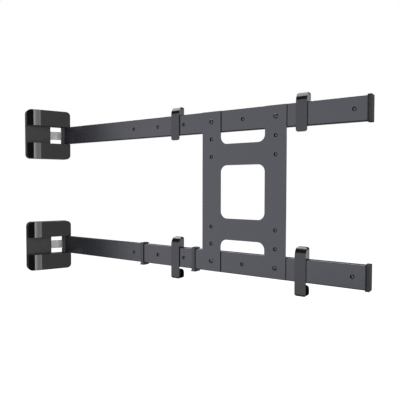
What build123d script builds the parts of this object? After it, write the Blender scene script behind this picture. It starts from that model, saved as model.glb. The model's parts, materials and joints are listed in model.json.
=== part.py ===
from build123d import *
from math import atan2, cos, degrees, radians, sin
import os

# Side-hinged wall mount for a television. Two wall brackets carry a frame of two long box rails
# and an H-shaped screen plate, which swings out from the wall like a door.
# X runs along the rails towards their free end, Y points away from the screen, Z is up.
# The origin is the middle of the front face of the screen plate, where the screen bolts on.
# The frame stands partly open: the wall lies at wall_angle to the rails.

# Screen plate
plate_width = 260.0
plate_height = 458.0
plate_thickness = 3.0
window_width = 138.0
window_height = 150.0
crossbar_height = 60.0
cutout_corner = 20.0
plate_corner = 2.0

# Rails: rectangular steel tube
rail_spacing = 400.0
rail_height = 60.0
rail_depth = 20.0
rail_wall = 1.5
rail_corner = 2.5
rail_overhang = 34.0

# Screen fixing holes, lined with steel sleeves, and the screws that hold the plate
hole_pitch = 100.0
hole_radius = 5.5
sleeve_bore = 4.25
rail_hole_steps = (-4, -3, -2, 0, 3)
plate_hole_steps = (1.0, 1.5)
bush_radius = 7.0
bush_length = 17.0
screw_radius = 3.95
screw_clearance = 0.3
screw_length = 14.0
screw_tip = 0.6
screw_head_radius = 7.0
screw_head_height = 3.2
screw_socket = 5.0
nut_radius = 5.5
nut_length = 12.0
nut_bulge = 2.0
thread_clearance = 0.05

# Hinge
wall_angle = 66.6
swing_angle = 110.0
hinge_reach = 756.0
pin_radius = 4.0
pin_chamfer = 0.6
running_clearance = 0.05
barrel_radius = 11.5
barrel_neck = 14.0
tenon_length = 34.0
tenon_clearance = 0.1
strap_thickness = 3.0
strap_height = 29.0
strap_tail = 43.0
eye_angle = 285.0
joggle_start = 46.0
joggle_end = 23.0
joggle_bend = 14.0
washer_thickness = 1.0
slot_clearance = 0.5
slot_margin = 6.0

# Wall plates
wall_gap = 15.0
wall_plate_thickness = 2.5
wall_hole_pitch = 110.0
wall_hole_radius = 4.5
peg_radius = 3.0
peg_tip_radius = 2.4
peg_spread = 25.0
peg_level = 60.0
rivet_radius = 2.5
rivet_head_radius = 4.5
rivet_head_height = 0.9
rivet_pitch = 16.0

# Bracket covers: glossy mouldings clipped over the wall plates
cover_width = 151.0
cover_height = 173.4
cover_right = 16.5
cover_front = 22.0
cover_corner = 15.0
cover_edge = 5.0
cover_wall = 2.2
cover_sweep = 45.0
cover_sweep_radius = 120.0
cover_fit = 0.4
channel_clearance = 1.0
channel_floor = 6.0
notch_reach = 48.2

# Rail end caps
cap_overlap = 3.7
cap_plug = 10.0
cap_end = 6.5
cap_side = 3.0
cap_rim = 2.3
cap_fit = 0.2
cap_round = 1.8

# Cable clips and bands that slide on the rails
clip_width = 30.0
clip_wall = 2.8
clip_gap = 0.2
clip_left = -230.0
clip_right = 170.0
clip_leg = 40.0
clip_slope_depth = 10.0
clip_slope_height = 16.5
clip_brow = 9.0
clip_round = 4.0
clip_corner = 6.5
clip_tip = 1.2
upper_saddle = 26.5
upper_tail = 15.0
lower_saddle = 30.5
lower_tail = 36.5
trough_mouth = 9.5
trough_corner = 5.5
trough_leg_corner = 9.0
band_width = 11.0
band_flange = 3.0
band_top = 4.0
band_bottom = 7.5
band_back = 2.5
band_places = (-364.0, -163.0)

# Derived places
rail_front = plate_thickness
rail_back = rail_front + rail_depth
rail_middle = (rail_front + rail_back) / 2
rail_reach = rail_hole_steps[-1] * hole_pitch + rail_overhang
rail_start = -hinge_reach + barrel_neck
channel_half = rail_height / 2 + channel_clearance
eye_bore = pin_radius + running_clearance
eye_radius = eye_bore + strap_thickness
washer_radius = eye_radius + 0.2
cavity_radius = eye_radius + slot_clearance
cavity_half = strap_height / 2 + washer_thickness + running_clearance
wall_plate_front = wall_gap - wall_plate_thickness
cover_left = cover_right - cover_width
cover_middle = (cover_left + cover_right) / 2
levels = {"top": rail_spacing / 2, "bottom": -rail_spacing / 2}


def span(x0, x1, y0, y1, z0, z1):
    """A block given by its two ends along each axis."""
    block = Box(x1 - x0, y1 - y0, z1 - z0)
    return Pos((x0 + x1) / 2, (y0 + y1) / 2, (z0 + z1) / 2) * block


def slab(outline, y0, y1):
    """An outline drawn in X and Z, made solid between two depths in Y."""
    return Pos(0, y1, 0) * extrude(Plane.XZ * outline, amount=y1 - y0)


def rod(radius, x, y0, y1, z):
    """A round bar along Y."""
    return Pos(x, (y0 + y1) / 2, z) * Rot(90, 0, 0) * Cylinder(radius, y1 - y0)


def turned_along_y(points, x, z):
    """A turned piece on an axis along Y: points are pairs of radius and depth."""
    outline = make_face(Polyline(*points, close=True))
    return Pos(x, 0, z) * revolve(outline, Axis.Y)


def to_wall(shape, level):
    """From a bracket's own axes, with the pin at the origin, to its place on the mount."""
    return Pos(-hinge_reach, rail_middle, level) * Rot(0, 0, wall_angle) * shape


def to_hinge(shape, level):
    """From the hinge's axes along the rails to its place on the mount."""
    return Pos(-hinge_reach, rail_middle, level) * shape


# Screen plate
def make_tv_plate():
    bar_outer = window_height / 2 + crossbar_height
    notch_depth = plate_height / 2 - bar_outer + cutout_corner
    outline = RectangleRounded(plate_width, plate_height, plate_corner)
    outline -= RectangleRounded(window_width, window_height, cutout_corner)
    for end in (1, -1):
        middle = end * (bar_outer + notch_depth)
        outline -= Pos(0, middle) * RectangleRounded(window_width, 2 * notch_depth, cutout_corner)
        for column in (1, -1):
            x = column * hole_pitch
            outline -= Pos(x, end * rail_spacing / 2) * Circle(screw_radius + screw_clearance)
            for step in plate_hole_steps:
                outline -= Pos(x, end * step * hole_pitch) * Circle(hole_radius)
    return slab(outline, 0, plate_thickness)


def make_plate_bushes():
    """Shouldered bushes, pressed into the plate from behind until flush with its front."""
    shoulder = plate_thickness
    end_y = plate_thickness + bush_length
    profile = [
        (sleeve_bore, 0),
        (hole_radius, 0),
        (hole_radius, shoulder),
        (bush_radius, shoulder),
        (bush_radius, end_y),
        (sleeve_bore, end_y),
    ]
    heights = [end * step * hole_pitch for end in (1, -1) for step in plate_hole_steps]
    return [turned_along_y(profile, x, z) for x in (-hole_pitch, hole_pitch) for z in heights]


def corner_places():
    return [(x, z) for z in levels.values() for x in (-hole_pitch, hole_pitch)]


def make_plate_screws():
    dome_turns = (25, 50, 75)
    screws = []
    for x, z in corner_places():
        dome = [(0, -screw_head_height)]
        for turn in dome_turns:
            across = screw_head_radius * sin(radians(turn))
            down = screw_head_height * cos(radians(turn))
            dome.append((across, -down))
        profile = dome + [
            (screw_head_radius, 0),
            (screw_radius, 0),
            (screw_radius, screw_length - screw_tip),
            (screw_radius - screw_tip, screw_length),
            (0, screw_length),
        ]
        screw = turned_along_y(profile, x, z)
        socket = Pos(x, 0, z) * slab(RegularPolygon(screw_socket / 2, 6, major_radius=False),
                                     -2 * screw_head_height, -screw_head_height / 4)
        screws.append(screw - socket)
    return screws


def make_rivet_nuts():
    nuts = []
    bore = screw_radius + thread_clearance
    bulge_front = rail_front + rail_wall
    for x, z in corner_places():
        profile = [
            (bore, rail_front),
            (nut_radius, rail_front),
            (nut_radius, bulge_front),
            (nut_radius + nut_bulge, bulge_front),
            (nut_radius + nut_bulge, bulge_front + nut_bulge),
            (nut_radius, bulge_front + 2 * nut_bulge),
            (nut_radius, rail_front + nut_length),
            (bore, rail_front + nut_length),
        ]
        nuts.append(turned_along_y(profile, x, z))
    return nuts


# Rails
def make_rail(level):
    section = RectangleRounded(rail_depth, rail_height, rail_corner)
    section -= RectangleRounded(rail_depth - 2 * rail_wall, rail_height - 2 * rail_wall,
                                rail_corner - rail_wall)
    tube = extrude(Plane.YZ * section, amount=rail_reach - rail_start)
    rail = Pos(rail_start, rail_middle, level) * tube
    for step in rail_hole_steps:
        rail -= rod(hole_radius, step * hole_pitch, 0, rail_back + rail_depth, level)
    for x in (-hole_pitch, hole_pitch):
        rail -= rod(nut_radius, x, 0, rail_middle, level)
    return rail


def make_rail_sleeves(level):
    """Sleeves through the tube, which keep its walls apart when a screen screw is tightened."""
    sleeves = []
    for step in rail_hole_steps:
        sleeve = rod(hole_radius, step * hole_pitch, rail_front, rail_back, level)
        sleeves.append(sleeve - rod(sleeve_bore, step * hole_pitch, 0, 2 * rail_back, level))
    return sleeves


def make_end_cap(level):
    x0 = rail_reach - cap_overlap
    x1 = rail_reach + cap_fit + cap_end
    shell = span(x0, x1, rail_front - cap_side, rail_back + cap_side,
                 level - rail_height / 2 - cap_rim, level + rail_height / 2 + cap_rim)
    outer_edges = shell.faces().sort_by(Axis.X)[-1].edges()
    shell = fillet(list(outer_edges) + list(shell.edges().filter_by(Axis.X)), cap_round)
    room = RectangleRounded(rail_depth + 2 * cap_fit, rail_height + 2 * cap_fit, rail_corner)
    socket = extrude(Plane.YZ * room, amount=2 * cap_overlap)
    shell -= Pos(rail_reach + cap_fit - 2 * cap_overlap, rail_middle, level) * socket
    plug_depth = rail_depth - 2 * rail_wall - 2 * cap_fit
    plug_height = rail_height - 2 * rail_wall - 2 * cap_fit
    ring = RectangleRounded(plug_depth, plug_height, rail_corner - rail_wall)
    ring -= Rectangle(plug_depth - 2 * cap_rim, plug_height - 2 * cap_rim)
    plug = extrude(Plane.YZ * ring, amount=cap_plug)
    return shell + Pos(rail_reach + cap_fit - cap_plug, rail_middle, level) * plug


# Hinge
def strap_crossing():
    """Angles, from the pin, between which the strap passes through the barrel wall when closed."""
    inner = atan2(eye_bore, -(barrel_radius ** 2 - eye_bore ** 2) ** 0.5)
    outer = atan2(eye_radius, -(cavity_radius ** 2 - eye_radius ** 2) ** 0.5)
    return degrees(outer), degrees(inner)


def make_hinge_barrel(level):
    half_depth = rail_depth / 2
    half = rail_height / 2
    barrel = Cylinder(barrel_radius, rail_height)
    barrel += span(0, barrel_neck, -half_depth, half_depth, -half, half)
    tenon_half_depth = half_depth - rail_wall - tenon_clearance
    tenon_half = half - rail_wall - tenon_clearance
    section = RectangleRounded(2 * tenon_half_depth, 2 * tenon_half, rail_corner - rail_wall)
    tenon = extrude(Plane.YZ * section, amount=barrel_neck + tenon_length)
    barrel += tenon
    barrel -= Cylinder(pin_radius, 2 * rail_height)
    barrel -= Cylinder(cavity_radius, 2 * cavity_half)
    first, last = strap_crossing()
    start = first - slot_margin
    turn = last + swing_angle + slot_margin - start
    far = 2 * barrel_radius
    arc = CenterArc((0, 0), far, start, turn)
    wedge = make_face([Line((0, 0), arc @ 0), arc, Line(arc @ 1, (0, 0))])
    slot = Pos(0, 0, -cavity_half) * extrude(wedge, amount=2 * cavity_half)
    return to_hinge(barrel - slot, level)


def make_hinge_pin(level):
    pin = Cylinder(pin_radius, rail_height)
    return to_hinge(chamfer(pin.edges().filter_by(GeomType.CIRCLE), pin_chamfer), level)


def make_hinge_washers(level):
    washers = []
    for end in (1, -1):
        middle = end * (strap_height / 2 + running_clearance / 2 + washer_thickness / 2)
        ring = Cylinder(washer_radius, washer_thickness) - Cylinder(eye_bore, 2 * washer_thickness)
        washers.append(to_hinge(Pos(0, 0, middle) * ring, level))
    return washers


def make_hinge_strap(level):
    flat_y = wall_plate_front - strap_thickness / 2
    eye_y = eye_bore + strap_thickness / 2
    tail_x = -notch_reach - strap_tail
    leaf = FilletPolyline((tail_x, flat_y), (-joggle_start, flat_y), (-joggle_end, eye_y),
                          (0, eye_y), radius=joggle_bend)
    eye = CenterArc((0, 0), eye_y, 90, -eye_angle)
    path = Wire([*leaf.edges(), eye])
    start = Plane(origin=(tail_x, flat_y, 0), x_dir=(0, 1, 0), z_dir=(1, 0, 0))
    strap = sweep(start * Rectangle(strap_thickness, strap_height), path=path)
    for x, z in rivet_places():
        strap -= rod(rivet_radius, x, 0, wall_gap, z)
    return to_wall(strap, level)


def rivet_places():
    near = -notch_reach - strap_tail / 4
    far = -notch_reach - strap_tail * 3 / 4
    return [(x, z) for x in (far, near) for z in (-rivet_pitch / 2, rivet_pitch / 2)]


def make_strap_rivets(level):
    rivets = []
    head_front = wall_plate_front - strap_thickness - rivet_head_height
    for x, z in rivet_places():
        rivet = rod(rivet_radius, x, head_front, wall_gap, z)
        rivet += rod(rivet_head_radius, x, head_front, head_front + rivet_head_height, z)
        rivets.append(to_wall(rivet, level))
    return rivets


# Wall brackets
def wall_hole_places():
    half = wall_hole_pitch / 2
    return [(cover_middle + x, z) for x in (-half, half) for z in (-half, half)]


def peg_places():
    return [(cover_middle + x, z) for x in (-peg_spread, peg_spread)
            for z in (-peg_level, peg_level)]


def make_wall_plate(level):
    inset = cover_wall + cover_fit
    outline = Pos(cover_middle, 0) * RectangleRounded(cover_width - 2 * inset,
                                                      cover_height - 2 * inset,
                                                      cover_corner - inset)
    gap_left = -notch_reach - inset
    gap_right = cover_right + cover_wall
    gap = Rectangle(gap_right - gap_left, 2 * (channel_half + inset))
    outline -= Pos((gap_left + gap_right) / 2, 0) * gap
    plate = slab(outline, wall_plate_front, wall_gap)
    for x, z in wall_hole_places():
        plate -= rod(wall_hole_radius, x, 0, 2 * wall_gap, z)
    for x, z in peg_places():
        plate -= rod(peg_tip_radius, x, 0, 2 * wall_gap, z)
    for x, z in rivet_places():
        plate -= rod(rivet_radius, x, 0, 2 * wall_gap, z)
    return to_wall(plate, level)


def cover_block(inset, back):
    """The cover's outer form, or its hollow when inset by the wall thickness."""
    left = cover_left + inset
    right = cover_right - inset
    front = -cover_front + inset
    sweep_x = cover_left + cover_sweep
    sweep_radius = cover_sweep_radius - inset
    turn = degrees(atan2(sweep_x - left, (sweep_radius ** 2 - (sweep_x - left) ** 2) ** 0.5))
    arc = CenterArc((sweep_x, front + sweep_radius), sweep_radius, 270, -turn)
    plan = make_face([
        Line((sweep_x, front), (right, front)),
        Line((right, front), (right, back)),
        Line((right, back), (left, back)),
        Line((left, back), arc @ 1),
        arc,
    ])
    height = cover_height - 2 * inset
    block = Pos(0, 0, -height / 2) * extrude(plan, amount=height)
    block = fillet(block.edges().filter_by(Axis.Y), cover_corner - inset)
    rim = [edge for face in block.faces().sort_by(Axis.Y)[:2] for edge in face.edges()
           if abs(edge.center().X - sweep_x) > 0.01]
    return fillet(rim, cover_edge - inset)


def make_cover(level):
    half = channel_half
    channel = span(2 * cover_left, 2 * cover_right, -2 * cover_front, channel_floor, -half, half)
    channel += span(-notch_reach, 2 * cover_right, 0, 2 * wall_gap, -half, half)
    cover = cover_block(0, wall_gap) - channel
    half += cover_wall
    kept = span(2 * cover_left, 2 * cover_right, -2 * cover_front, channel_floor + cover_wall,
                -half, half)
    kept += span(-notch_reach - cover_wall, 2 * cover_right, 0, 2 * wall_gap, -half, half)
    cover -= cover_block(cover_wall, 2 * wall_gap) - kept
    half = strap_height / 2 + slot_clearance
    cover -= span(-notch_reach - 2 * cover_wall, 0, wall_plate_front - strap_thickness
                  - slot_clearance, 2 * wall_gap, -half, half)
    for x, z in peg_places():
        cover += rod(peg_radius, x, -cover_front + cover_wall / 2, wall_plate_front, z)
        cover += rod(peg_tip_radius, x, 0, wall_gap, z)
    return to_wall(cover, level)


# Cable clips
def bent_profile(points, rounds):
    """A closed outline of depth and height, with rounded corners at some of its points."""
    outline = make_face(Polyline(*points, close=True))
    for place, radius in rounds:
        corner = outline.vertices().sort_by_distance((*points[place], 0))[0]
        outline = fillet(corner, radius)
    return outline


def hook_points(saddle, tail):
    """Front strip, slope, saddle and back leg, from the strip's foot to the leg's inside."""
    top = rail_height / 2 + saddle
    inner_front = rail_front - clip_gap
    inner_back = rail_back + clip_gap
    back = inner_back + clip_wall
    leg_end = rail_height / 2 - clip_leg
    return [
        (0, -rail_height / 2 - tail),
        (0, top - clip_slope_height),
        (clip_slope_depth, top),
        (back, top),
        (back, leg_end),
        (inner_back, leg_end),
        (inner_back, rail_height / 2 + clip_gap),
        (inner_front, rail_height / 2 + clip_gap),
    ]


def saddle_pockets(saddle, x, level):
    """The two hollows that lighten the block above the rail."""
    y0 = clip_slope_depth + clip_wall / 2
    y1 = rail_back - clip_wall
    z0 = level + rail_height / 2
    z1 = z0 + saddle - clip_wall
    half = clip_width / 2 - clip_wall
    rib = clip_wall / 2
    return span(x - half, x - rib, y0, y1, z0, z1) + span(x + rib, x + half, y0, y1, z0, z1)


def extrude_clip(outline, x, level, top, bottom):
    """The profile drawn out along the rail, then trimmed to a face with rounded corners."""
    body = extrude(Plane.YZ * outline, amount=clip_width)
    face = RectangleRounded(clip_width, top - bottom, clip_corner)
    trim = slab(face, -clip_wall, rail_back + 2 * clip_wall)
    middle = (top + bottom) / 2
    clip = (Pos(-clip_width / 2, 0, 0) * body) & (Pos(0, 0, middle) * trim)
    return Pos(x, 0, level) * clip


def make_upper_clip(x):
    level = levels["top"]
    points = hook_points(upper_saddle, upper_tail)
    points.append((rail_front - clip_gap, -rail_height / 2 - upper_tail))
    rounds = [(1, clip_round), (2, clip_brow), (3, clip_round), (4, clip_tip), (5, clip_tip)]
    clip = extrude_clip(bent_profile(points, rounds), x, level,
                        rail_height / 2 + upper_saddle, -rail_height / 2 - upper_tail)
    return clip - saddle_pockets(upper_saddle, x, level)


def make_lower_clip(x):
    level = levels["bottom"]
    bottom = -rail_height / 2 - lower_tail
    mouth = -rail_height / 2 - trough_mouth
    inner_front = rail_front - clip_gap
    inner_back = rail_back + clip_gap
    back = inner_back + clip_wall
    hook = hook_points(lower_saddle, lower_tail)
    trough = [
        (inner_front, bottom + clip_wall),
        (inner_back, bottom + clip_wall),
        (inner_back, mouth),
        (back, mouth),
        (back, bottom),
    ]
    first = len(hook)
    inside = trough_corner - clip_wall
    rounds = [(1, clip_round), (2, clip_brow), (3, clip_round), (4, clip_tip), (5, clip_tip),
              (0, trough_corner), (first + 4, trough_corner), (first, inside), (first + 1, inside)]
    clip = extrude_clip(bent_profile(hook + trough, rounds), x, level,
                        rail_height / 2 + lower_saddle, bottom)
    leg_corners = [edge for edge in clip.edges().filter_by(Axis.Y)
                   if abs(edge.center().Z - level - mouth) < clip_gap]
    clip = fillet(leg_corners, trough_leg_corner)
    return clip - saddle_pockets(lower_saddle, x, level)


def make_band(x):
    level = levels["bottom"]
    half = rail_height / 2 + clip_gap
    top = rail_height / 2 + band_top
    bottom = -rail_height / 2 - band_bottom
    side = band_width / 2
    wide = side + band_flange
    back = rail_back + clip_gap + band_back
    band = span(-side, side, 0, back, bottom, top)
    band += span(-wide, wide, 0, back, top - band_flange, top)
    band += span(-wide, wide, 0, back, bottom, bottom + band_flange)
    band -= span(-2 * wide, 2 * wide, rail_front - clip_gap, rail_back + clip_gap, -half, half)
    return Pos(x, 0, level) * band


# The whole mount, one file for each piece or set of like fasteners
def build_pieces():
    pieces = {
        "tv_plate": make_tv_plate(),
        "plate_bushes": make_plate_bushes(),
        "plate_screws": make_plate_screws(),
        "plate_rivet_nuts": make_rivet_nuts(),
        "clip_upper_left": make_upper_clip(clip_left),
        "clip_upper_right": make_upper_clip(clip_right),
        "clip_lower_left": make_lower_clip(clip_left),
        "clip_lower_right": make_lower_clip(clip_right),
        "cable_band_left": make_band(band_places[0]),
        "cable_band_right": make_band(band_places[1]),
    }
    for name, level in levels.items():
        pieces["rail_" + name] = make_rail(level)
        pieces["rail_sleeves_" + name] = make_rail_sleeves(level)
        pieces["end_cap_" + name] = make_end_cap(level)
        pieces["hinge_barrel_" + name] = make_hinge_barrel(level)
        pieces["hinge_pin_" + name] = make_hinge_pin(level)
        pieces["hinge_washers_" + name] = make_hinge_washers(level)
        pieces["hinge_strap_" + name] = make_hinge_strap(level)
        pieces["strap_rivets_" + name] = make_strap_rivets(level)
        pieces["wall_plate_" + name] = make_wall_plate(level)
        pieces["bracket_cover_" + name] = make_cover(level)
    return pieces


def save(pieces):
    os.makedirs("parts", exist_ok=True)
    for name, piece in pieces.items():
        solids = piece if isinstance(piece, list) else [piece]
        shape = Compound([solid for entry in solids for solid in entry.solids()])
        shape.label = name
        export_step(shape, "parts/" + name + ".step")
        size = shape.bounding_box().size
        print(f"{name}: {len(shape.solids())} solid(s), {size.X:.1f} x {size.Y:.1f} x {size.Z:.1f} mm")


save(build_pieces())
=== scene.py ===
# %% [markdown]
# A side-hinged wall mount for a television, dressed over its CAD frame.
# The CAD solids give every size and every joint. This script gives the finishes, and models anew
# the pieces whose rounded forms a faceted solid can't show: the glossy covers, the cable clips
# and bands, the end caps, the hinge barrels and straps, and the domed screws. It also adds the
# small plugs in the free holes.
# Lengths are written in millimetres and brought to metres by the helper functions. Only the
# studio, its lamps and its camera are laid out in metres.

# %% Open the frame
import json
import math
import bpy
from mathutils import Matrix, Vector


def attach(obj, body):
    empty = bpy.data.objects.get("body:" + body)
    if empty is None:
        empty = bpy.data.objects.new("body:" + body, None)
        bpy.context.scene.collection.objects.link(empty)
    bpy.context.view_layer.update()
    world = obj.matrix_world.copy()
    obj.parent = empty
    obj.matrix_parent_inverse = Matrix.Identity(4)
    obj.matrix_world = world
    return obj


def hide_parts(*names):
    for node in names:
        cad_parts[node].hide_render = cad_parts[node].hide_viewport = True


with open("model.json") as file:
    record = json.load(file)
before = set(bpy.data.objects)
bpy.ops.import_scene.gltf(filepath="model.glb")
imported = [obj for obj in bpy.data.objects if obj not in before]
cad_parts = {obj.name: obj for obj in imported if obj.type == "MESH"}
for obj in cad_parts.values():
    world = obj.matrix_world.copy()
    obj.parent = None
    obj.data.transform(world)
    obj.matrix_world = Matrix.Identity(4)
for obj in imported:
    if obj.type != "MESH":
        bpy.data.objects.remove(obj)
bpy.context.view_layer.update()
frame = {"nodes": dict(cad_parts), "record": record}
MM = 0.001

# %% [markdown]
# The sizes that the new pieces need are the ones that the solids were built with.
# They are named once here, in millimetres, and each piece works out its own places from them.

# %% Sizes of the mount
RAIL_SPACING = 400.0
RAIL_HEIGHT = 60.0
RAIL_FRONT = 3.0
RAIL_BACK = 23.0
RAIL_MIDDLE = (RAIL_FRONT + RAIL_BACK) / 2
RAIL_REACH = 334.0
HINGE_REACH = 756.0
WALL_ANGLE = math.radians(66.6)
LEVELS = {"top": RAIL_SPACING / 2, "bottom": -RAIL_SPACING / 2}
print("rails at", list(LEVELS.values()), "mm")

# %% [markdown]
# Blender's operators act on whatever is selected, so each helper first drops the selection.
# A piece is started from a primitive, shaped in edit mode, and its place is then put into
# its mesh, so that the object itself stays at the origin, unturned and unscaled.

# %% Helpers for starting a piece
def only(piece):
    """Selects one object and nothing else."""
    bpy.ops.object.select_all(action="DESELECT")
    piece.select_set(True)
    bpy.context.view_layer.objects.active = piece


def settle(piece, matrix=None):
    """Puts the object's place into its mesh."""
    if matrix is not None:
        piece.matrix_world = matrix
    only(piece)
    bpy.ops.object.transform_apply(location=True, rotation=True, scale=True)


def block(name, low, high):
    """A cube brought to two opposite corners."""
    bpy.ops.object.select_all(action="DESELECT")
    centre = [(a + b) / 2 * MM for a, b in zip(low, high)]
    size = [(b - a) * MM for a, b in zip(low, high)]
    bpy.ops.mesh.primitive_cube_add(size=1, location=centre, scale=size)
    piece = bpy.context.object
    piece.name = name
    settle(piece)
    return piece


def bar(name, radius, low, high, around=48):
    """A round bar along Z between two heights on the origin's axis."""
    bpy.ops.object.select_all(action="DESELECT")
    bpy.ops.mesh.primitive_cylinder_add(vertices=around, radius=radius * MM,
                                        depth=(high - low) * MM,
                                        location=(0, 0, (low + high) / 2 * MM))
    piece = bpy.context.object
    piece.name = name
    settle(piece)
    return piece


# %% [markdown]
# In edit mode an operator works on the chosen vertices, edges or faces. A person picks them
# with the mouse. A script picks them by their place, and a face also by the way it looks.
# Each test below gets places in millimetres, so it reads like a drawing.

# %% Helpers for shaping a piece
FACING = 0.9
UPWARD = (0, 0, 1)
SIDEWAYS = (1, 0, 0)


def pick(piece, kind, test):
    """Enters edit mode with the vertices, edges or faces chosen whose place passes a test."""
    only(piece)
    mesh = piece.data
    for part in (mesh.vertices, mesh.edges, mesh.polygons):
        for item in part:
            item.select = False
    if kind == "VERT":
        chosen = [v for v in mesh.vertices if test(v.co / MM)]
    elif kind == "EDGE":
        chosen = [e for e in mesh.edges if test(*(mesh.vertices[i].co / MM for i in e.vertices))]
    else:
        chosen = [f for f in mesh.polygons if test(f.center / MM, f.normal)]
    for item in chosen:
        item.select = True
    bpy.ops.object.mode_set(mode="EDIT")
    bpy.ops.mesh.select_mode(type=kind)
    return len(chosen)


def open_whole(piece):
    """Enters edit mode with everything chosen."""
    pick(piece, "VERT", lambda v: True)


def leave():
    """Goes back from edit mode to object mode."""
    bpy.ops.object.mode_set(mode="OBJECT")


def extrude(piece, test, move):
    """Draws the chosen faces out by a move in millimetres."""
    pick(piece, "FACE", test)
    bpy.ops.mesh.extrude_region_move(TRANSFORM_OT_translate={"value": Vector(move) * MM})
    leave()


def slide(piece, test, move):
    """Moves the chosen vertices."""
    pick(piece, "VERT", test)
    bpy.ops.transform.translate(value=Vector(move) * MM)
    leave()


def round_off(piece, test, radius, segments):
    """Bevels the chosen edges."""
    count = pick(piece, "EDGE", test)
    bpy.ops.mesh.bevel(offset=radius * MM, offset_type="OFFSET", segments=segments, profile=0.5,
                       affect="EDGES", clamp_overlap=True)
    leave()
    return count


def slice_across(place, axis, **settings):
    """In edit mode, adds edges where a plane square to an axis crosses the piece."""
    bpy.ops.mesh.select_all(action="SELECT")
    bpy.ops.mesh.bisect(plane_co=Vector(axis) * place * MM, plane_no=axis, **settings)


def merge_flats(piece):
    """Dissolves the edges that the drawing out has left inside flat faces."""
    open_whole(piece)
    bpy.ops.mesh.dissolve_limited(angle_limit=math.radians(0.5))
    leave()


def near(value, target, room=0.02):
    """Whether two measures agree."""
    return abs(value - target) < room


def along_x(a, b):
    """Whether an edge between two places runs along X."""
    return near(a.y, b.y) and near(a.z, b.z)


def along_y(a, b):
    """Whether an edge between two places runs along Y."""
    return near(a.x, b.x) and near(a.z, b.z)


# %% [markdown]
# Some forms are easiest as one solid cut by another, the way a slot is milled.
# The Boolean modifier does that. A tool reaches a little past what it cuts, so that no skin is
# left. A narrow bevel on what remains keeps the edges from being knife sharp, and weighted
# normals keep the flat faces flat under a reflection.

# %% Helpers for cutting, joining and finishing
SPARE = 5.0
FAR = 200.0


def apply_modifier(piece, kind, **settings):
    """Adds a modifier with its settings and applies it to the mesh."""
    only(piece)
    modifier = piece.modifiers.new(kind.title(), kind)
    for key, value in settings.items():
        setattr(modifier, key, value)
    bpy.ops.object.modifier_apply(modifier=modifier.name)


def cut(piece, tool, operation="DIFFERENCE"):
    """Cuts the tool's form out of the piece, or joins it on, and throws the tool away."""
    apply_modifier(piece, "BOOLEAN", object=tool, operation=operation, solver="EXACT")
    bpy.data.objects.remove(tool)


def shade(piece, angle=35):
    """Smooth shading over the gentle bends, with the sharp ones kept."""
    only(piece)
    bpy.ops.object.shade_smooth_by_angle(angle=math.radians(angle))
    apply_modifier(piece, "WEIGHTED_NORMAL", keep_sharp=True)


def ease_edges(piece, width, segments=2, angle=40):
    """A narrow bevel along every edge sharper than an angle, then smooth shading."""
    apply_modifier(piece, "BEVEL", width=width * MM, segments=segments, limit_method="ANGLE",
                   angle_limit=math.radians(angle), use_clamp_overlap=True,
                   miter_outer="MITER_ARC")
    shade(piece)


# %% [markdown]
# The mount has nearly every piece twice. Each is modelled once and copied, and every copy has a
# mesh of its own, because its place goes into that mesh.
# A copy rides on a body of the frame, so that it moves with the joints. It also replaces the
# faceted solid of its name, which then only serves for collisions.

# %% Helpers for copies that take a solid's place
new_pieces = {}


def moved(x=0, y=0, z=0):
    """Matrix of a plain move."""
    return Matrix.Translation(Vector((x, y, z)) * MM)


def twin(model, name, place):
    """A copy of a model with its own mesh, brought to its place."""
    piece = model.copy()
    piece.data = model.data.copy()
    piece.name = name
    bpy.context.collection.objects.link(piece)
    settle(piece, place)
    return piece


def join(pieces, name):
    """Makes one set of several pieces."""
    only(pieces[0])
    for piece in pieces:
        piece.select_set(True)
    bpy.ops.object.join()
    joined = bpy.context.object
    joined.name = name
    return joined


def stands_for(piece, node, body):
    """The piece rides on its body and replaces its solid."""
    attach(piece, body)
    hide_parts(node)
    new_pieces[node] = piece


def along_rail(name, spots):
    """Moves that bring a model from its first spot along a rail to each spot."""
    first = next(iter(spots.values()))
    return {name + side: moved(spot - first) for side, spot in spots.items()}


def set_out(model, ending, places, body=None):
    """A copy of the model for each solid. What slides by itself has a body of its own name."""
    for node, place in places.items():
        stands_for(twin(model, node + ending, place), node, body or node)
    bpy.data.objects.remove(model)
    print("set out:", ", ".join(places))


# %% [markdown]
# The upper clips are hooks of moulded plastic. A flat strip covers the rail's front, a block
# with a sloping nose sits on the rail, and a short leg holds on behind it.
# The hook is drawn out step by step from its foot, as one would fold a strip. Each kind is
# modelled at its left place and copied to the right one.
# The nose runs into the front and the top in wide arcs. They mirror the studio from its front
# to its ceiling, which draws the dark band across each nose.

# %% Clip sizes
CLIP_HALF = 15.0
CLIP_GAP = 0.2
CLIP_WALL = 2.8
CLIP_LEG_END = -10.0
CLIP_SLOPE = (10.0, 16.5)
CLIP_FOOT = 6.0
CLIP_BEND = 4.0
CLIP_CORNER = 6.5
CLIP_EASED = 0.7
CLIP_X = {"left": -230.0, "right": 170.0}
print("clips at", list(CLIP_X.values()), "mm along the rails")

# %% Form of a clip
def hook(name, x, level, saddle, foot):
    """Front strip, block and back leg, drawn out from the strip's foot."""
    inner_front = RAIL_FRONT - CLIP_GAP
    inner_back = RAIL_BACK + CLIP_GAP
    back = inner_back + CLIP_WALL
    inner_top = level + RAIL_HEIGHT / 2 + CLIP_GAP
    top = level + RAIL_HEIGHT / 2 + saddle
    strip = block(name, (x - CLIP_HALF, 0, foot), (x + CLIP_HALF, inner_front, inner_top))
    extrude(strip, lambda c, n: n.z > FACING, (0, 0, top - inner_top))
    extrude(strip, lambda c, n: n.y > FACING and c.z > inner_top,
            (0, inner_back - inner_front, 0))
    extrude(strip, lambda c, n: n.y > FACING and c.z > inner_top, (0, CLIP_WALL, 0))
    extrude(strip, lambda c, n: n.z < -FACING and c.y > inner_back,
            (0, 0, level + CLIP_LEG_END - inner_top))
    print(name, "from", foot, "to", top, "mm")
    return strip, top, back


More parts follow.
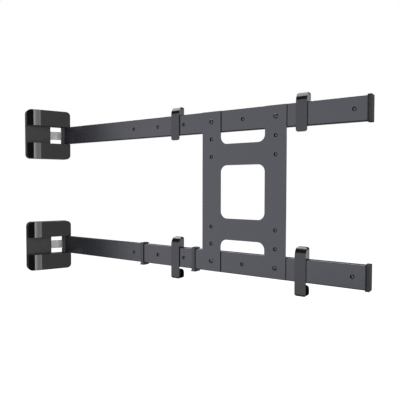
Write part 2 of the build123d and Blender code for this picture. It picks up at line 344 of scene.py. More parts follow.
def slope_hook(clip, top, back, brow):
    """Slices the hook below its top, pushes the front edge back and rounds the bends."""
    depth, height = CLIP_SLOPE
    open_whole(clip)
    slice_across(top - height, UPWARD)
    leave()
    slide(clip, lambda v: near(v.y, 0) and near(v.z, top), (0, depth, 0))
    round_off(clip, lambda a, b: along_x(a, b) and near(a.z, top) and near(a.y, depth), brow, 10)
    round_off(clip, lambda a, b: along_x(a, b) and near(a.z, top) and near(a.y, back),
              CLIP_BEND, 5)
    round_off(clip, lambda a, b: along_x(a, b) and near(a.z, top - height) and near(a.y, 0),
              CLIP_FOOT, 10)


def round_face(clip, x, foot, top):
    """Keeps only what lies behind a face with rounded corners."""
    face = block("face", (x - CLIP_HALF, -SPARE, foot),
                 (x + CLIP_HALF, RAIL_BACK + 2 * SPARE, top))
    round_off(face, along_y, CLIP_CORNER, 8)
    cut(clip, face, "INTERSECT")


# %% Upper clips
UPPER_SADDLE = 26.5
UPPER_TAIL = 15.0
UPPER_BROW = 5.2


def upper_clip():
    """The hook with its sloping nose."""
    x = CLIP_X["left"]
    level = LEVELS["top"]
    foot = level - RAIL_HEIGHT / 2 - UPPER_TAIL
    clip, top, back = hook("upper_clip", x, level, UPPER_SADDLE, foot)
    merge_flats(clip)
    slope_hook(clip, top, back, UPPER_BROW)
    round_face(clip, x, foot, top)
    ease_edges(clip, CLIP_EASED, 3)
    return clip


set_out(upper_clip(), "_moulded", along_rail("clip_upper_", CLIP_X))

# %% [markdown]
# The lower clips have the same hook, but below the rail their strip turns back and up again,
# into an open trough that carries the cables.

# %% Lower clips
LOWER_SADDLE = 30.5
LOWER_TAIL = 36.5
LOWER_BROW = 7.2
TROUGH_MOUTH = 9.5
TROUGH_CORNER = 5.5
TROUGH_LEG_CORNER = 9.0


def lower_clip():
    """The hook with its trough."""
    x = CLIP_X["left"]
    level = LEVELS["bottom"]
    foot = level - RAIL_HEIGHT / 2 - LOWER_TAIL
    floor = foot + CLIP_WALL
    mouth = level - RAIL_HEIGHT / 2 - TROUGH_MOUTH
    inner_front = RAIL_FRONT - CLIP_GAP
    inner_back = RAIL_BACK + CLIP_GAP
    clip, top, back = hook("lower_clip", x, level, LOWER_SADDLE, floor)
    extrude(clip, lambda c, n: n.z < -FACING and near(c.z, floor), (0, 0, -CLIP_WALL))
    extrude(clip, lambda c, n: n.y > FACING and c.z < floor, (0, inner_back - inner_front, 0))
    extrude(clip, lambda c, n: n.y > FACING and c.z < floor, (0, CLIP_WALL, 0))
    extrude(clip, lambda c, n: n.z > FACING and near(c.z, floor) and c.y > inner_back,
            (0, 0, mouth - floor))
    merge_flats(clip)
    slope_hook(clip, top, back, LOWER_BROW)
    round_off(clip, lambda a, b: along_x(a, b) and near(a.z, foot)
              and (near(a.y, 0) or near(a.y, back)), TROUGH_CORNER, 6)
    round_off(clip, lambda a, b: along_x(a, b) and near(a.z, floor)
              and (near(a.y, inner_front) or near(a.y, inner_back)),
              TROUGH_CORNER - CLIP_WALL, 5)
    round_face(clip, x, foot, top)
    round_off(clip, lambda a, b: along_y(a, b) and near(a.z, mouth), TROUGH_LEG_CORNER, 8)
    ease_edges(clip, CLIP_EASED, 3)
    return clip


set_out(lower_clip(), "_moulded", along_rail("clip_lower_", CLIP_X))

# %% [markdown]
# Two narrow bands ring the lower rail and keep thin cables close to it.
# Each is a block with a window for the rail and a lip at its top and at its foot.
# Blender keeps the kind of element that was chosen last. While that is vertices, choosing both
# lips would also take in the side between them, which shares all its corners with them. So the
# block is opened by its faces before it is sliced.

# %% Cable bands
BAND_X = {"left": -364.0, "right": -163.0}
BAND_HALF = 5.5
BAND_LIP = 3.0
BAND_TOP = 4.0
BAND_BOTTOM = 7.5
BAND_WALL = 2.5
BAND_EASED = 0.5
ROOM_REACH = 20.0


def cable_band():
    """A band with the rail's window through it."""
    x = BAND_X["left"]
    level = LEVELS["bottom"]
    top = level + RAIL_HEIGHT / 2 + BAND_TOP
    bottom = level - RAIL_HEIGHT / 2 - BAND_BOTTOM
    band = block("cable_band", (x - BAND_HALF, 0, bottom),
                 (x + BAND_HALF, RAIL_BACK + CLIP_GAP + BAND_WALL, top))
    pick(band, "FACE", lambda c, n: True)
    for height in (top - BAND_LIP, bottom + BAND_LIP):
        slice_across(height, UPWARD)
    leave()
    for sign in (1, -1):
        extrude(band, lambda c, n: n.x * sign > FACING and (c.z > top - BAND_LIP
                or c.z < bottom + BAND_LIP), (sign * BAND_LIP, 0, 0))
    half = RAIL_HEIGHT / 2 + CLIP_GAP
    cut(band, block("rail_room", (x - ROOM_REACH, RAIL_FRONT - CLIP_GAP, level - half),
                    (x + ROOM_REACH, RAIL_BACK + CLIP_GAP, level + half)))
    ease_edges(band, BAND_EASED)
    return band


set_out(cable_band(), "_moulded", along_rail("cable_band_", BAND_X))

# %% [markdown]
# A moulded cap closes the free end of each rail. Its rim laps over the tube like a lid, and a
# fine groove parts the rim from the end. The groove's tool is a frame: a block with its middle
# cut out.

# %% End caps
CAP_BACK = RAIL_REACH - 3.5
CAP_END = RAIL_REACH + 6.7
CAP_SIDE = 3.0
CAP_RIM = 2.3
CAP_FIT = 0.2
CAP_ROUND = 1.8
GROOVE_START = RAIL_REACH - 0.4
GROOVE_END = GROOVE_START + 1.2
GROOVE_DEPTH = 0.9


def around_rail(name, start, end, side, rim):
    """A block along the rail that stands out past its sides and past its top and foot."""
    half = RAIL_HEIGHT / 2
    return block(name, (start, RAIL_FRONT - side, -half - rim),
                 (end, RAIL_BACK + side, half + rim))


def end_cap():
    """A cap midway between the rails, with its groove."""
    cap = around_rail("end_cap", CAP_BACK, CAP_END, CAP_SIDE, CAP_RIM)
    round_off(cap, lambda a, b: not near(a.x, CAP_BACK) or not near(b.x, CAP_BACK), CAP_ROUND, 5)
    cut(cap, around_rail("tube_room", CAP_BACK - SPARE, RAIL_REACH + CAP_FIT, CAP_FIT, CAP_FIT))
    groove = around_rail("groove", GROOVE_START, GROOVE_END, CAP_SIDE + SPARE, CAP_RIM + SPARE)
    cut(groove, around_rail("kept", GROOVE_START - SPARE, GROOVE_END + SPARE,
                            CAP_SIDE - GROOVE_DEPTH, CAP_RIM - GROOVE_DEPTH))
    cut(cap, groove)
    shade(cap)
    return cap


set_out(end_cap(), "_moulded", {"end_cap_" + place: moved(z=level)
                                for place, level in LEVELS.items()}, "swing_frame")

# %% [markdown]
# Each wall bracket wears a polished cover. Its face is flat near the hinge and falls back in a
# gentle curve at the far side, which is what makes the bands of light on it.
# The curve comes first: the block is sliced and its front is moved back slice by slice.
# Then its corners and its rim are rounded, and the channel and the hollow are cut.

# %% Cover sizes
COVER_LEFT = -134.5
COVER_RIGHT = 16.5
COVER_FRONT = -22.0
COVER_HALF = 86.7
COVER_CORNER = 15.0
COVER_RIM = 5.0
COVER_WALL = 2.2
COVER_EASED = 0.5
SWEEP_START = COVER_LEFT + 45.0
SWEEP_RADIUS = 120.0
SWEEP_SLICES = 12
WALL_FACE = 15.0
CHANNEL_HALF = 31.0
CHANNEL_FLOOR = 6.0
WINDOW_LEFT = -48.2
STRAP_ROOM_FRONT = 9.0
STRAP_ROOM_HALF = 15.0
TOLERANCE = 0.01


def sweep_drop(x, radius):
    """How far the curved face lies behind the flat one."""
    across = max(0.0, SWEEP_START - x)
    return radius - math.sqrt(radius ** 2 - across ** 2)


print("the far side falls back", round(sweep_drop(COVER_LEFT, SWEEP_RADIUS), 2), "mm")

# %% Form of a cover
def cover_form(name, inset, back):
    """The cover's rounded form, drawn in all round by an inset."""
    left = COVER_LEFT + inset
    right = COVER_RIGHT - inset
    front = COVER_FRONT + inset
    half = COVER_HALF - inset
    form = block(name, (left, front, -half), (right, back, half))
    round_off(form, along_y, COVER_CORNER - inset, 8)
    open_whole(form)
    for i in range(SWEEP_SLICES):
        slice_across(SWEEP_START - i * (SWEEP_START - left) / SWEEP_SLICES, SIDEWAYS)
    leave()
    places = {round(v.co.x / MM, 2) for v in form.data.vertices}
    curved = sorted(x for x in places if x < SWEEP_START - TOLERANCE)
    for x in curved:
        slide(form, lambda v: near(v.x, x) and near(v.y, front),
              (0, sweep_drop(x, SWEEP_RADIUS - inset), 0))
    corner = COVER_CORNER - inset + TOLERANCE

    def at_end(v):
        return near(abs(v.z), half) or v.x > right - corner or v.x < left + corner

    def on_rim(a, b):
        if max(a.y, b.y) > CHANNEL_FLOOR or not (at_end(a) and at_end(b)):
            return False
        slice_edge = near(a.x, b.x) and near(a.z, -b.z)
        return not slice_edge or near(a.x, left) or near(a.x, right)

    count = round_off(form, on_rim, COVER_RIM - inset, 6)
    print(name, "slices", len(curved), "rim edges", count)
    return form


# %% [markdown]
# A cover is modelled in its bracket's own axes, with the hinge pin at the origin, and its
# copies are then turned to the wall.

# %% Covers
def to_bracket(level):
    """Matrix from a bracket's own axes to its place."""
    return moved(-HINGE_REACH, RAIL_MIDDLE, level) @ Matrix.Rotation(WALL_ANGLE, 4, "Z")


def cover():
    """The form with its channel, its window and its hollow."""
    piece = cover_form("cover", 0.0, WALL_FACE)
    cut(piece, block("channel", (-FAR, -FAR, -CHANNEL_HALF), (FAR, CHANNEL_FLOOR, CHANNEL_HALF)))
    cut(piece, block("window", (WINDOW_LEFT, 0, -CHANNEL_HALF), (FAR, FAR, CHANNEL_HALF)))
    hollow = cover_form("hollow", COVER_WALL, WALL_FACE + SPARE)
    half = CHANNEL_HALF + COVER_WALL
    cut(hollow, block("kept", (-FAR, -FAR, -half), (FAR, CHANNEL_FLOOR + COVER_WALL, half)))
    cut(hollow, block("kept", (WINDOW_LEFT - COVER_WALL, 0, -half), (FAR, FAR, half)))
    cut(piece, hollow)
    cut(piece, block("strap_room", (WINDOW_LEFT - SPARE, STRAP_ROOM_FRONT, -STRAP_ROOM_HALF),
                     (0, FAR, STRAP_ROOM_HALF)))
    ease_edges(piece, COVER_EASED, 2, 50)
    return piece


set_out(cover(), "_moulded", {"bracket_cover_" + place: to_bracket(level)
                              for place, level in LEVELS.items()}, "wall_brackets")

# %% [markdown]
# The hinge barrel is turned and milled: a round bar with a neck to the rail, a slot round its
# middle where the strap swings, and a bore for the pin.
# The slot's wedge is wider than a quarter turn, so it is cut by two quarters that overlap.

# %% Hinge barrels
BARREL_RADIUS = 11.5
BARREL_NECK = 14.0
BARREL_EASED = 0.5
NECK_HALF = 10.0
TENON_START = BARREL_NECK - 1.0
TENON_END = 48.0
TENON_HALF_DEPTH = 8.4
TENON_HALF_HEIGHT = 28.4
BORE_RADIUS = 4.01
BORE_PAST = 1.0
WEDGE_REACH = 60.0
CAVITY_RADIUS = 7.55
CAVITY_HALF = 15.55
SLOT_START = math.radians(105.0)
SLOT_END = math.radians(275.4)


def hinge_barrel():
    """A barrel about its own pin, with its neck and its tenon."""
    half = RAIL_HEIGHT / 2
    barrel = bar("hinge_barrel", BARREL_RADIUS, -half, half, 96)
    cut(barrel, block("neck", (0, -NECK_HALF, -half), (BARREL_NECK, NECK_HALF, half)), "UNION")
    cut(barrel, block("tenon", (TENON_START, -TENON_HALF_DEPTH, -TENON_HALF_HEIGHT),
                      (TENON_END, TENON_HALF_DEPTH, TENON_HALF_HEIGHT)), "UNION")
    cut(barrel, bar("pin_bore", BORE_RADIUS, -half - BORE_PAST, half + BORE_PAST))
    cut(barrel, bar("cavity", CAVITY_RADIUS, -CAVITY_HALF, CAVITY_HALF, 64))
    first = block("quarter", (0, 0, -CAVITY_HALF), (WEDGE_REACH, WEDGE_REACH, CAVITY_HALF))
    last = block("quarter", (0, -WEDGE_REACH, -CAVITY_HALF), (WEDGE_REACH, 0, CAVITY_HALF))
    for quarter, angle in ((first, SLOT_START), (last, SLOT_END)):
        settle(quarter, Matrix.Rotation(angle, 4, "Z"))
        cut(barrel, quarter)
    ease_edges(barrel, BARREL_EASED, 2, 50)
    return barrel


set_out(hinge_barrel(), "_turned", {"hinge_barrel_" + place: moved(-HINGE_REACH, RAIL_MIDDLE, level)
                                    for place, level in LEVELS.items()}, "swing_frame")

# %% [markdown]
# The strap is a strip of zinc plated steel, rolled at its end into an eye round the pin.
# Only its middle surface is drawn: one edge is pulled along the path and spun round the pin,
# and Solidify then gives the sheet its thickness on both sides.

# %% Hinge straps
STRAP_THICKNESS = 3.0
STRAP_HALF = 14.5
STRAP_TAIL = -91.2
STRAP_FLAT = 11.0
STRAP_EASED = 0.3
BEND_START = -46.0
BEND_END = -23.0
BEND_STEPS = 12
EYE_MIDDLE = 5.55
EYE_TURN = math.radians(285.0)
EYE_STEPS = 48


def strap_path():
    """The points of the strip's middle after its tail: two gentle bends and the run to the eye."""
    points = []
    for i in range(1, BEND_STEPS + 1):
        share = i / BEND_STEPS
        ease = share * share * (3 - 2 * share)
        points.append((BEND_START + share * (BEND_END - BEND_START),
                       STRAP_FLAT + ease * (EYE_MIDDLE - STRAP_FLAT)))
    points.append((0.0, EYE_MIDDLE))
    return points


def hinge_strap():
    """A strap in its bracket's own axes."""
    bpy.ops.object.select_all(action="DESELECT")
    length = BEND_START - STRAP_TAIL
    middle = (STRAP_TAIL + length / 2) * MM
    bpy.ops.mesh.primitive_plane_add(size=1, location=(middle, STRAP_FLAT * MM, 0),
                                     rotation=(math.pi / 2, 0, 0))
    strap = bpy.context.object
    strap.name = "hinge_strap"
    strap.scale = (length * MM, 2 * STRAP_HALF * MM, 1)
    settle(strap)
    last = (BEND_START, STRAP_FLAT)
    pick(strap, "EDGE", lambda a, b: near(a.x, BEND_START) and near(b.x, BEND_START))
    for point in strap_path():
        move = Vector((point[0] - last[0], point[1] - last[1], 0)) * MM
        bpy.ops.mesh.extrude_region_move(TRANSFORM_OT_translate={"value": move})
        last = point
    bpy.ops.mesh.spin(steps=EYE_STEPS, angle=EYE_TURN, center=(0, 0, 0), axis=(0, 0, -1))
    leave()
    tip = strap.data.vertices[-1].co / MM
    print("the strap ends at", [round(c, 2) for c in tip])
    apply_modifier(strap, "SOLIDIFY", thickness=STRAP_THICKNESS * MM, offset=0.0)
    ease_edges(strap, STRAP_EASED, 2, 60)
    return strap


set_out(hinge_strap(), "_rolled", {"hinge_strap_" + place: to_bracket(level)
                                   for place, level in LEVELS.items()}, "wall_brackets")

# %% [markdown]
# Four domed screws hold the plate on the rails. One is made from a flattened ball, halved by a
# bisect, with a shank and a six-sided socket. It is copied to its four places and the copies
# are joined, because the four are one set.

# %% Plate screws
HOLE_PITCH = 100.0
HOLE_COLUMNS = (-HOLE_PITCH, HOLE_PITCH)
SCREW_HEAD = (7.0, 3.2)
SCREW_RADIUS = 3.95
SCREW_LENGTH = 14.0
SHANK_IN_HEAD = 0.5
SOCKET_FLAT = 2.5
SOCKET_RADIUS = SOCKET_FLAT / math.cos(math.pi / 6)
SOCKET_FLOOR = 0.64
TO_FRONT = Matrix.Rotation(math.pi / 2, 4, "X")


def screw():
    """A domed screw whose head looks to the front."""
    bpy.ops.object.select_all(action="DESELECT")
    across, height = SCREW_HEAD
    bpy.ops.mesh.primitive_uv_sphere_add(segments=48, ring_count=24, radius=1,
                                         scale=(across * MM, across * MM, height * MM))
    head = bpy.context.object
    settle(head)
    open_whole(head)
    slice_across(0, UPWARD, use_fill=True, clear_inner=True)
    leave()
    cut(head, bar("shank", SCREW_RADIUS, -SCREW_LENGTH, SHANK_IN_HEAD, 40), "UNION")
    cut(head, bar("socket", SOCKET_RADIUS, SOCKET_FLOOR, height + SPARE, 6))
    shade(head, 40)
    settle(head, TO_FRONT)
    return head


one_screw = screw()
screws = [twin(one_screw, "screw", moved(x, 0, level))
          for level in LEVELS.values() for x in HOLE_COLUMNS]
bpy.data.objects.remove(one_screw)
print("plate screws:", len(screws))
stands_for(join(screws, "plate_screws_domed"), "plate_screws", "swing_frame")

# %% [markdown]
# The holes that a screen doesn't use are closed by small push-in plugs, set a little below the
# face. They are loose trim, so they are drawn here only and the solids keep their open holes.

# %% Hole plugs
PLUG_RADIUS = 4.2
PLUG_DEPTH = 4.0
PLUG_LENGTH = 4.0
NOSE_RADIUS = 2.4
NOSE_LENGTH = 2.8
NOSE_ROUND = 0.8
NOSE_IN_PLUG = 0.5
RAIL_STEPS = (-4, -3, -2, 0, 3)
PLATE_STEPS = (-1.5, -1.0, 1.0, 1.5)


def plug():
    """A plug whose face looks to the front and lies in the plane Y = 0."""
    tip = PLUG_LENGTH + NOSE_LENGTH
    nose = bar("nose", NOSE_RADIUS, PLUG_LENGTH - NOSE_IN_PLUG, tip, 32)
    round_off(nose, lambda a, b: near(a.z, tip) and near(b.z, tip), NOSE_ROUND, 4)
    piece = join([bar("plug", PLUG_RADIUS, 0, PLUG_LENGTH, 40), nose], "plug")
    shade(piece, 40)
    settle(piece, moved(y=PLUG_LENGTH) @ TO_FRONT)
    return piece


def plug_set(name, front, spots):
    """A set of like plugs behind a front, joined, that rides on the swinging frame."""
    model = plug()
    plugs = [twin(model, "plug", moved(x, front + PLUG_DEPTH, z)) for x, z in spots]
    bpy.data.objects.remove(model)
    joined = join(plugs, name)
    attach(joined, "swing_frame")
    print(name, "plugs:", len(plugs))
    return joined


plug_sets = [plug_set("hole_plugs_rail_" + place, RAIL_FRONT,
                      [(step * HOLE_PITCH, level) for step in RAIL_STEPS])
             for place, level in LEVELS.items()]
plug_sets.append(plug_set("hole_plugs_plate", 0, [(x, step * HOLE_PITCH) for x in HOLE_COLUMNS
                                                  for step in PLATE_STEPS]))

# %% [markdown]
# Powder coat, moulded plastic and zinc plate are all slightly uneven close up.
# One node group gives that unevenness as a height and a roughness, another a faint mottling
# of the colour. Each finish places them with its own values.

# %% Helpers for nodes
def add_node(tree, kind, x, y, **settings):
    """A node at a place in the tree, with its settings."""
    node = tree.nodes.new(kind)
    node.location = (x, y)
    for key, value in settings.items():
        setattr(node, key, value)
    return node


def set_inputs(node, **values):
    """Sets inputs by their names, written with _ for a space."""
    for name, value in values.items():
        node.inputs[name.replace("_", " ")].default_value = value


def new_inputs(tree, **values):
    """Gives a node group number inputs with their usual values."""
    for name, value in values.items():
        socket = tree.interface.new_socket(name, in_out="INPUT", socket_type="NodeSocketFloat")
        socket.default_value = value


# %% Fine grain
FINE_DETAIL = 2.0
BROAD_SCALE = 14.0
NOISE_MIDDLE = 0.5


def grain_group():
    """Fine noise as a height, and broad noise that lifts and lowers the roughness."""
    tree = bpy.data.node_groups.new("Fine grain", "ShaderNodeTree")
    new_inputs(tree, Scale=900.0, Roughness=0.4, Spread=0.08)
    tree.interface.new_socket("Height", in_out="OUTPUT", socket_type="NodeSocketFloat")
    tree.interface.new_socket("Roughness", in_out="OUTPUT", socket_type="NodeSocketFloat")
    given = add_node(tree, "NodeGroupInput", -800, 0)
    out = add_node(tree, "NodeGroupOutput", 500, 0)
    place = add_node(tree, "ShaderNodeTexCoord", -800, 300)
    fine = add_node(tree, "ShaderNodeTexNoise", -500, 200)
    set_inputs(fine, Detail=FINE_DETAIL)
    broad = add_node(tree, "ShaderNodeTexNoise", -500, -100)
    set_inputs(broad, Scale=BROAD_SCALE)
    centre = add_node(tree, "ShaderNodeMath", -250, -100, operation="SUBTRACT")
    centre.inputs[1].default_value = NOISE_MIDDLE
    times = add_node(tree, "ShaderNodeMath", 0, -100, operation="MULTIPLY_ADD")
    links = tree.links
    links.new(place.outputs["Object"], fine.inputs["Vector"])
    links.new(place.outputs["Object"], broad.inputs["Vector"])
    links.new(given.outputs["Scale"], fine.inputs["Scale"])
    links.new(broad.outputs["Fac"], centre.inputs[0])
    links.new(centre.outputs[0], times.inputs[0])
    links.new(given.outputs["Spread"], times.inputs[1])
    links.new(given.outputs["Roughness"], times.inputs[2])
    links.new(fine.outputs["Fac"], out.inputs["Height"])
    links.new(times.outputs[0], out.inputs["Roughness"])
    return tree


grain = grain_group()
print("shared effect:", grain.name)

# %% Soft mottling
CLOUD_DETAIL = 4.0


def mottle_group():
    """Cloudy noise that makes a tone a little lighter and darker."""
    tree = bpy.data.node_groups.new("Soft mottling", "ShaderNodeTree")
    tone = tree.interface.new_socket("Tone", in_out="INPUT", socket_type="NodeSocketColor")
    tone.default_value = (0.1, 0.1, 0.1, 1)
    new_inputs(tree, Amount=0.1, Scale=30.0)
    tree.interface.new_socket("Color", in_out="OUTPUT", socket_type="NodeSocketColor")
    given = add_node(tree, "NodeGroupInput", -800, 0)
    out = add_node(tree, "NodeGroupOutput", 500, 0)
    place = add_node(tree, "ShaderNodeTexCoord", -800, 300)
    cloud = add_node(tree, "ShaderNodeTexNoise", -500, 200)
    set_inputs(cloud, Detail=CLOUD_DETAIL)
    centre = add_node(tree, "ShaderNodeMath", -300, 200, operation="SUBTRACT")
    centre.inputs[1].default_value = NOISE_MIDDLE
    shift = add_node(tree, "ShaderNodeMath", -100, 200, operation="MULTIPLY_ADD")
    shift.inputs[2].default_value = 1.0
    tint = add_node(tree, "ShaderNodeVectorMath", 150, 100, operation="SCALE")
    links = tree.links
    links.new(place.outputs["Object"], cloud.inputs["Vector"])
    links.new(given.outputs["Scale"], cloud.inputs["Scale"])
    links.new(cloud.outputs["Fac"], centre.inputs[0])
    links.new(centre.outputs[0], shift.inputs[0])
    links.new(given.outputs["Amount"], shift.inputs[1])
    links.new(given.outputs["Tone"], tint.inputs[0])
    links.new(shift.outputs[0], tint.inputs["Scale"])
    links.new(tint.outputs[0], out.inputs["Color"])
    return tree


mottle = mottle_group()
print("shared effect:", mottle.name)

# %% [markdown]
# Each finish is a Principled shader. What varies over the surface comes from the two groups,
# and what is the same all over is set on the shader itself.
# Black paint has hardly any colour of its own, so its cool tone comes from a tinted mirror
# image rather than from the paint.

# %% Helper for a finish
GRAIN_DEPTH = 0.2


def finish(name, tone, roughness, spread, grain_scale, bump, mottling, metallic=0.0, **own):
    """A material from the two shared effects and the shader's own settings."""
    material = bpy.data.materials.new(name)
    material.use_nodes = True
    tree = material.node_tree
    shader = tree.nodes["Principled BSDF"]
    set_inputs(shader, Metallic=metallic, **own)
    fine = add_node(tree, "ShaderNodeGroup", -700, -100, node_tree=grain)
    set_inputs(fine, Scale=grain_scale, Roughness=roughness, Spread=spread)
    cloud = add_node(tree, "ShaderNodeGroup", -700, 200, node_tree=mottle)
    set_inputs(cloud, Tone=(*tone, 1), Amount=mottling)
    relief = add_node(tree, "ShaderNodeBump", -350, -250)
    set_inputs(relief, Strength=bump, Distance=GRAIN_DEPTH * MM)
    links = tree.links
    links.new(cloud.outputs["Color"], shader.inputs["Base Color"])
    links.new(fine.outputs["Roughness"], shader.inputs["Roughness"])
    links.new(fine.outputs["Height"], relief.inputs["Height"])
    links.new(relief.outputs["Normal"], shader.inputs["Normal"])
    return material


# %% Finishes by the record's slots
finishes = {
    "frame_paint": finish("Black powder coat", tone=(0.006, 0.0062, 0.0078), roughness=0.21,
                          spread=0.04, grain_scale=1500.0, bump=0.03, mottling=0.12,
                          Specular_Tint=(0.86, 0.875, 1.0, 1.0)),
    "cover_gloss": finish("Polished black moulding", tone=(0.004, 0.004, 0.0045), roughness=0.04,
                          spread=0.02, grain_scale=400.0, bump=0.0, mottling=0.1),
    "clip_plastic": finish("Satin clip plastic", tone=(0.006, 0.006, 0.007), roughness=0.17,
                           spread=0.03, grain_scale=1200.0, bump=0.02, mottling=0.1,
                           Specular_IOR_Level=0.35, Specular_Tint=(0.88, 0.89, 1.0, 1.0)),
    "cap_plastic": finish("Matte cap plastic", tone=(0.033, 0.0325, 0.0322), roughness=0.5,
                          spread=0.05, grain_scale=1200.0, bump=0.05, mottling=0.1,
                          Specular_IOR_Level=0.05),
    "zinc_steel": finish("Dull zinc plate", tone=(0.36, 0.36, 0.355), roughness=0.55,
                         spread=0.15, grain_scale=700.0, bump=0.1, mottling=0.15, metallic=1.0),
    "black_fastener": finish("Black oxide", tone=(0.01, 0.01, 0.012), roughness=0.2,
                             spread=0.05, grain_scale=900.0, bump=0.03, mottling=0.1),
}
print("finishes:", ", ".join(material.name for material in finishes.values()))

# %% Finishes of single pieces
channel_finish = finish("Matte channel floor", tone=(0.022, 0.022, 0.0225), roughness=0.6,
                        spread=0.05, grain_scale=1200.0, bump=0.05, mottling=0.1)
# Near black sleeves: painted shade, standing for the shade inside the holes.
hole_shade_finish = finish("Sleeve painted as hole shade", tone=(0.002, 0.002, 0.0022), roughness=0.6,
                       spread=0.05, grain_scale=900.0, bump=0.05, mottling=0.1,
                       Specular_IOR_Level=0.05)
# The caps' rims are a little glossier than the cap, and their darker bluish tone is painted shade
# where the rail meets its cap.
cap_rim_shade_finish = finish("Cap rim painted shade", tone=(0.008, 0.008, 0.0095), roughness=0.3,
                    spread=0.05, grain_scale=1200.0, bump=0.03, mottling=0.1,
                    Specular_IOR_Level=0.12)
barrel_finish = finish("Matte hinge paint", tone=(0.02, 0.0205, 0.0245), roughness=0.5,
                       spread=0.05, grain_scale=1200.0, bump=0.04, mottling=0.1,
                       Specular_IOR_Level=0.2)
plug_finish = finish("Grey plug", tone=(0.07, 0.071, 0.076), roughness=0.4,
                     spread=0.05, grain_scale=900.0, bump=0.05, mottling=0.1)
print("materials in all:", len(bpy.data.materials))

# %% [markdown]
# Every CAD node that stays gets its finish in its own slots, and each new piece takes the
# finish of the node it stands for, as the record names it.
# A few surfaces of the real mount are duller than the rest of their piece: the floors of the
# covers' channels and the hinge barrels. The caps' rims are painted darker and the linings of the
# holes near black, as painted shade where the rail meets its cap and inside the holes. All of them
# are given their own finish afterwards, by piece or by the place of a face.

# %% Put the finishes on
slot_of = {entry["node"]: entry["material_slot"] for entry in frame["record"]["subparts"]}


def dress(piece, material):
    """One material over the whole piece, in every slot that it has."""
    if len(piece.material_slots) == 0:
        piece.data.materials.append(material)
    for slot in piece.material_slots:
        slot.material = material


for node, piece in frame["nodes"].items():
    dress(piece, finishes[slot_of[node]])
for node, piece in new_pieces.items():
    piece.data.materials.clear()
    dress(piece, finishes[slot_of[node]])
# The sleeves and bushes get the near black, as painted shade inside the holes.
for node in ("rail_sleeves_top", "rail_sleeves_bottom", "plate_bushes"):
    dress(frame["nodes"][node], hole_shade_finish)
for piece in plug_sets:
    piece.data.materials.clear()
    dress(piece, plug_finish)
for place in LEVELS:
    dress(new_pieces["hinge_barrel_" + place], barrel_finish)
print("dressed", len(frame["nodes"]), "nodes and", len(new_pieces), "new pieces")

# %% Duller channel floors, and cap rims with painted shade
CHANNEL_ROOM = 1.0


def second_finish(piece, material, test):
    """Gives a second material to the faces whose middle passes a test."""
    piece.data.materials.append(material)
    faces = [face for face in piece.data.polygons if test(face.center)]
    for face in faces:
        face.material_index = 1
    print(piece.name, "faces in", material.name, len(faces))


# The caps' rims get the darker tone, as painted shade where the rail meets its cap.
for place, level in LEVELS.items():
    second_finish(new_pieces["end_cap_" + place], cap_rim_shade_finish,
                  lambda middle: middle.x < GROOVE_END * MM)
    inside = to_bracket(level).inverted()

    def in_channel(middle):
        spot = inside @ middle / MM
        return (abs(spot.z) < CHANNEL_HALF + CHANNEL_ROOM
                and spot.y > CHANNEL_FLOOR - CHANNEL_ROOM)

    second_finish(new_pieces["bracket_cover_" + place], channel_finish, in_channel)

# %% [markdown]
# The studio, laid out in metres, is a floor well below the mount, a surround and soft boxes.
# The camera sees floor and surround as plain white. Black finishes live from what they mirror,
# so to them the surround is dim, and a little brighter towards the back and the ceiling.

# %% World
SKY_LEAN = (0.2, 1.0, 0.3)
SKY_FROM = -0.5
SKY_TO = 0.15
SKY_DARK = 0.03
SKY_BRIGHT = 0.16
world = bpy.data.worlds.new("Studio surround")
bpy.context.scene.world = world
world.use_nodes = True
sky = world.node_tree
sky.nodes.clear()
way = add_node(sky, "ShaderNodeTexCoord", -1000, 0)
lean = add_node(sky, "ShaderNodeVectorMath", -800, 0, operation="DOT_PRODUCT")
lean.inputs[1].default_value = SKY_LEAN
ramp = add_node(sky, "ShaderNodeMapRange", -600, 0, interpolation_type="SMOOTHSTEP")
set_inputs(ramp, From_Min=SKY_FROM, From_Max=SKY_TO, To_Min=SKY_DARK, To_Max=SKY_BRIGHT)
surround = add_node(sky, "ShaderNodeBackground", -350, 0)
set_inputs(surround, Color=(1, 1, 1, 1))
white = add_node(sky, "ShaderNodeBackground", -350, 200)
set_inputs(white, Color=(1, 1, 1, 1), Strength=1.0)
seen = add_node(sky, "ShaderNodeLightPath", -350, 500)
mix = add_node(sky, "ShaderNodeMixShader", -100, 100)
end = add_node(sky, "ShaderNodeOutputWorld", 100, 100)
sky.links.new(way.outputs["Generated"], lean.inputs[0])
sky.links.new(lean.outputs["Value"], ramp.inputs["Value"])
sky.links.new(ramp.outputs["Result"], surround.inputs["Strength"])
sky.links.new(seen.outputs["Is Camera Ray"], mix.inputs["Fac"])
sky.links.new(surround.outputs[0], mix.inputs[1])
sky.links.new(white.outputs[0], mix.inputs[2])
sky.links.new(mix.outputs[0], end.inputs["Surface"])
print("surround from", SKY_DARK, "to", SKY_BRIGHT)

# %% Floor
FLOOR_LEVEL = -1.3
FLOOR_SIZE = 30
FLOOR_TONE = 0.25
FLOOR_ROUGHNESS = 0.9
bpy.ops.object.select_all(action="DESELECT")
bpy.ops.mesh.primitive_plane_add(size=FLOOR_SIZE, location=(0, 0, FLOOR_LEVEL))
floor = bpy.context.object
floor.name = "studio_floor"
settle(floor)
paper = bpy.data.materials.new("White paper")
paper.use_nodes = True
paper_tree = paper.node_tree
paper_shader = paper_tree.nodes["Principled BSDF"]
set_inputs(paper_shader, Base_Color=(FLOOR_TONE, FLOOR_TONE, FLOOR_TONE, 1),
           Roughness=FLOOR_ROUGHNESS, Emission_Color=(1, 1, 1, 1))
paper_seen = add_node(paper_tree, "ShaderNodeLightPath", -300, 0)
paper_tree.links.new(paper_seen.outputs["Is Camera Ray"], paper_shader.inputs["Emission Strength"])
floor.data.materials.append(paper)
print("floor at", FLOOR_LEVEL, "m")

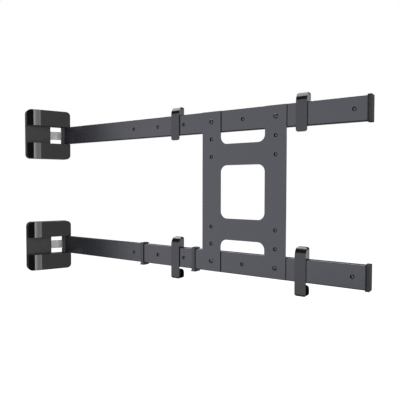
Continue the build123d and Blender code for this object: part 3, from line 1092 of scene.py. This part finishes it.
# %% [markdown]
# The rails and the plate mirror the box at the left front. Four slats at the right front, each
# dimmer than the last, draw the bands on the covers' curved sides, and a fill strip and a dim
# wall carry on round the corner. The clips' right sides mirror the two boxes at the right rear.
# The box overhead lights the tops. The dark gap between it and the front shows as the black
# band on the clips' noses.

# %% Soft boxes
COVERS = (-0.78, -0.09, 0)
SLAT_WIDTH = 0.115
SLAT_HEIGHT = 1.9
SLAT_START = (1.235, -1.403)
SLAT_WAY = (0.483, 0.875)
SLAT_RADIANCES = (6.8, 5.4, 4.4, 3.6)


def soft_box(name, place, width, height, radiance, target, roll=0.0):
    """A soft box that faces a point. Its power follows from its area and its radiance."""
    lamp = bpy.data.lights.new(name, "AREA")
    lamp.shape = "RECTANGLE"
    lamp.size = width
    lamp.size_y = height
    lamp.energy = radiance * math.pi * width * height
    box = bpy.data.objects.new(name, lamp)
    bpy.context.collection.objects.link(box)
    box.location = place
    away = Vector(target) - Vector(place)
    facing = away.to_track_quat("-Z", "Y").to_matrix()
    box.rotation_euler = (facing @ Matrix.Rotation(math.radians(roll), 3, "Z")).to_euler()
    box.visible_camera = False


soft_box("left front box", (-1.12, -2.0, 0.05), 2.8, 2.0, 2.7, (-1.12, 0, 0.05), 8.0)
for step, radiance in enumerate(SLAT_RADIANCES):
    along = (step + 0.5) * SLAT_WIDTH
    soft_box("right front slat " + str(step + 1),
             (SLAT_START[0] + SLAT_WAY[0] * along, SLAT_START[1] + SLAT_WAY[1] * along, 0.0),
             SLAT_WIDTH, SLAT_HEIGHT, radiance, COVERS)
soft_box("right fill strip", (1.53, -0.76, 0.0), 0.48, SLAT_HEIGHT, 3.1, COVERS)
soft_box("right dim wall", (1.64, 0.08, 0.0), 1.4, 2.2, 0.78, (-0.78, 0.08, 0))
soft_box("right rear upper box", (1.36, 2.0, 0.62), 0.9, 0.4, 2.1, (0.2, 0, 0.62))
soft_box("right rear lower box", (1.36, 2.0, -0.5), 0.9, 0.36, 2.1, (0.2, 0, -0.5))
soft_box("overhead box", (-1.2, 0.65, 2.1), 2.8, 2.7, 8.5, (-1.2, 0.65, 0))
print("soft boxes:", len(bpy.data.lights))

# %% [markdown]
# The camera stands in front of the free end and looks across to the hinge, so the rails run
# together in a strong perspective. Its lens and place were fitted to the outline of the plate
# and the rails.

# %% Camera
CAMERA_PLACE = (0.5939, -1.0834, 0.0171)
CAMERA_TURN = 34.065
CAMERA_PITCH = -1.819
CAMERA_ROLL = -0.104
LENS = 40.23
SENSOR = 36.0
camera_data = bpy.data.cameras.new("Camera")
camera_data.lens = LENS
camera_data.sensor_width = SENSOR
camera_data.clip_start = 0.01
camera_data.clip_end = 100.0
camera = bpy.data.objects.new("Camera", camera_data)
bpy.context.collection.objects.link(camera)
camera.location = CAMERA_PLACE
camera.rotation_mode = "XYZ"
camera.rotation_euler = (math.radians(90.0 + CAMERA_PITCH), math.radians(CAMERA_ROLL),
                         math.radians(CAMERA_TURN))
bpy.context.scene.camera = camera
bpy.context.scene.view_settings.view_transform = "Standard"
print("camera at", CAMERA_PLACE)
